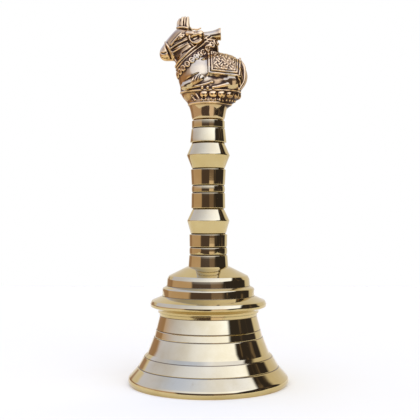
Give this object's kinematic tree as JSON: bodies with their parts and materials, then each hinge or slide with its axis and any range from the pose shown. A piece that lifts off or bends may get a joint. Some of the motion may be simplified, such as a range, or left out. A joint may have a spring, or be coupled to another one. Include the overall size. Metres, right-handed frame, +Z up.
{
  "type": "puja bell",
  "caption": "Brass hand bell for worship: flared bell with a stepped crown and hanging clapper, turned handle, and a cast resting bull as finial.",
  "frame": {"origin": "centre of the rim plane, the flat ring that the bell stands on", "axes": "+Z up along the bell's axis from rim to finial; the bull faces -X, its left side faces -Y"},
  "size_m": [0.0764, 0.0764, 0.1755],
  "materials": {
    "polished_brass": "mirror polished, pale gold",
    "antique_brass": "cast, dark in the recesses and rubbed bright on the high places",
    "fastener_steel": "zinc plated, dull",
    "clapper_iron": "drawn iron wire, darkened",
    "clapper_brass": "turned, dull from handling"
  },
  "bodies": {
    "root": {"bell_shell": "polished_brass", "handle_grip": "polished_brass", "nandi_finial": "antique_brass", "finial_stud": "fastener_steel", "eye_bolt": "fastener_steel", "crown_washer": "fastener_steel", "crown_nut": "fastener_steel"},
    "link": {"clapper_link": "clapper_iron"},
    "clapper": {"clapper_rod": "clapper_iron", "clapper_ball": "clapper_brass"}
  },
  "joints": [
    {"name": "link_swing", "type": "hinge", "parent": "root", "child": "link", "pos_m": [0, 0, 0.03815], "axis": [1, 0, 0], "range_deg": [-28, 28]},
    {"name": "clapper_swing", "type": "hinge", "parent": "link", "child": "clapper", "pos_m": [0, 0, 0.03085], "axis": [0, 1, 0], "range_deg": [-38, 38]}
  ]
}
